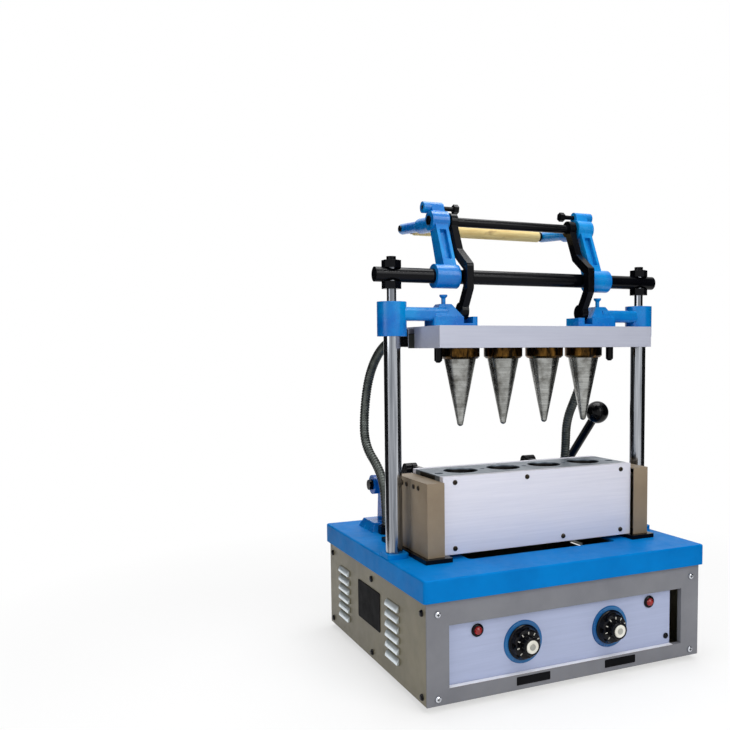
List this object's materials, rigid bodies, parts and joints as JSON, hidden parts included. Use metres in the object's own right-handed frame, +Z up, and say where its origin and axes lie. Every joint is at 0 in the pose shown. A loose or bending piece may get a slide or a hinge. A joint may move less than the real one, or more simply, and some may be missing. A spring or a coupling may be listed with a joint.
{
  "type": "waffle cone maker",
  "caption": "Hand-operated cone baking press: a heated split mould on a cabinet, cone-shaped cores on a head that a toggle handle lowers along columns, and a lever that opens the mould.",
  "frame": {"origin": "middle of the machine's outline on the floor under its feet", "axes": "+X to the machine's right, +Y to its back, +Z up; the controls face -Y"},
  "size_m": [0.458, 0.4126, 0.6567],
  "materials": {
    "blue_enamel": "gloss azure enamel",
    "taupe_enamel": "satin taupe enamel",
    "bright_sheet": "satin bright sheet",
    "mould_metal": "machined",
    "chrome": "polished plate",
    "steel": "turned",
    "brass": "heat-darkened",
    "black_enamel": "gloss black enamel",
    "black_plastic": "gloss",
    "red_plastic": "clear red",
    "wood": "bare turned wood",
    "rubber": "matt"
  },
  "bodies": {
    "base": {"rubber_feet": "rubber", "bottom_tray": "taupe_enamel", "front_frame": "taupe_enamel", "back_panel": "taupe_enamel", "left_side_panel": "taupe_enamel", "right_side_panel": "taupe_enamel", "top_plate": "blue_enamel", "front_screws": "chrome", "cabinet_screws": "black_enamel", "control_panel": "bright_sheet", "pilot_lamp_holders": "chrome", "pilot_lamp_lenses": "red_plastic", "dial_rings": "chrome", "thermostats": "black_plastic", "columns": "chrome", "column_bosses": "blue_enamel", "column_nuts": "black_enamel", "main_shaft": "black_enamel", "slide_rails": "black_enamel", "front_mould_half": "mould_metal", "front_mould_cover": "bright_sheet", "front_end_covers": "taupe_enamel", "front_mould_screws": "brass", "front_heaters": "steel", "guide_pins": "steel", "shaft_brackets": "blue_enamel", "base_glands": "brass", "left_conduit": "steel", "right_conduit": "steel"},
    "press_head": {"core_plate": "mould_metal", "head_cover": "bright_sheet", "terminal_box": "black_enamel", "cone_cores": "steel", "core_collars": "brass", "locating_pins": "black_enamel", "left_slide_bracket": "blue_enamel", "right_slide_bracket": "blue_enamel", "sleeve_bushes": "brass", "thumb_screws": "blue_enamel", "head_glands": "brass"},
    "handle": {"left_lever_arm": "blue_enamel", "right_lever_arm": "blue_enamel", "clamp_bolts": "black_enamel", "crank_rod": "black_enamel", "handle_tubes": "blue_enamel", "grip_spindle": "black_enamel"},
    "grip": {"wooden_grip": "wood"},
    "toggle_links": {"toggle_links": "black_enamel"},
    "rear_mould": {"rear_mould_half": "mould_metal", "rear_mould_cover": "bright_sheet", "rear_end_covers": "taupe_enamel", "rear_mould_screws": "brass", "rear_heaters": "steel"},
    "opening_lever": {"opening_shaft": "black_enamel", "opening_lever": "black_enamel", "ball_knob": "black_plastic", "throw_arms": "black_enamel"},
    "connecting_rods": {"connecting_rods": "black_enamel"},
    "left_dial": {"left_knob": "black_plastic"},
    "right_dial": {"right_knob": "black_plastic"}
  },
  "joints": [
    {"name": "handle_swing", "type": "hinge", "parent": "base", "child": "handle", "pos_m": [0, -0.0615, 0.55], "axis": [1, 0, 0], "range_deg": [0, 176.46]},
    {"name": "head_slide", "type": "slide", "parent": "base", "child": "press_head", "axis": [0, 0, -1], "range_m": [0, 0.156], "deforming": ["left_conduit", "right_conduit"]},
    {"name": "link_swing", "type": "hinge", "parent": "handle", "child": "toggle_links", "pos_m": [0, -0.02928, 0.62974], "axis": [1, 0, 0], "range_deg": [-145.73, 0]},
    {"name": "grip_spin", "type": "hinge", "parent": "handle", "child": "grip", "pos_m": [0, 0.08, 0.633], "axis": [1, 0, 0], "continuous": true},
    {"name": "opening_lever_swing", "type": "hinge", "parent": "base", "child": "opening_lever", "pos_m": [0, 0.125, 0.2385], "axis": [-1, 0, 0], "range_deg": [0, 80]},
    {"name": "connecting_rod_swing", "type": "hinge", "parent": "opening_lever", "child": "connecting_rods", "pos_m": [0, 0.10572, 0.26148], "axis": [-1, 0, 0], "range_deg": [-80, 0]},
    {"name": "rear_mould_slide", "type": "slide", "parent": "base", "child": "rear_mould", "axis": [0, 1, 0], "range_m": [0, 0.03857]},
    {"name": "left_dial_turn", "type": "hinge", "parent": "base", "child": "left_dial", "pos_m": [-0.073, -0.2, 0.068], "axis": [0, 1, 0], "range_deg": [0, 270]},
    {"name": "right_dial_turn", "type": "hinge", "parent": "base", "child": "right_dial", "pos_m": [0.065, -0.2, 0.068], "axis": [0, 1, 0], "range_deg": [0, 270]}
  ],
  "couplings": [
    {"joint": "head_slide", "follows": "handle_swing", "m_per_rad": 0.050652},
    {"joint": "link_swing", "follows": "handle_swing", "ratio": -0.82585},
    {"joint": "connecting_rod_swing", "follows": "opening_lever_swing", "ratio": -1},
    {"joint": "rear_mould_slide", "follows": "opening_lever_swing", "m_per_rad": 0.027622}
  ]
}
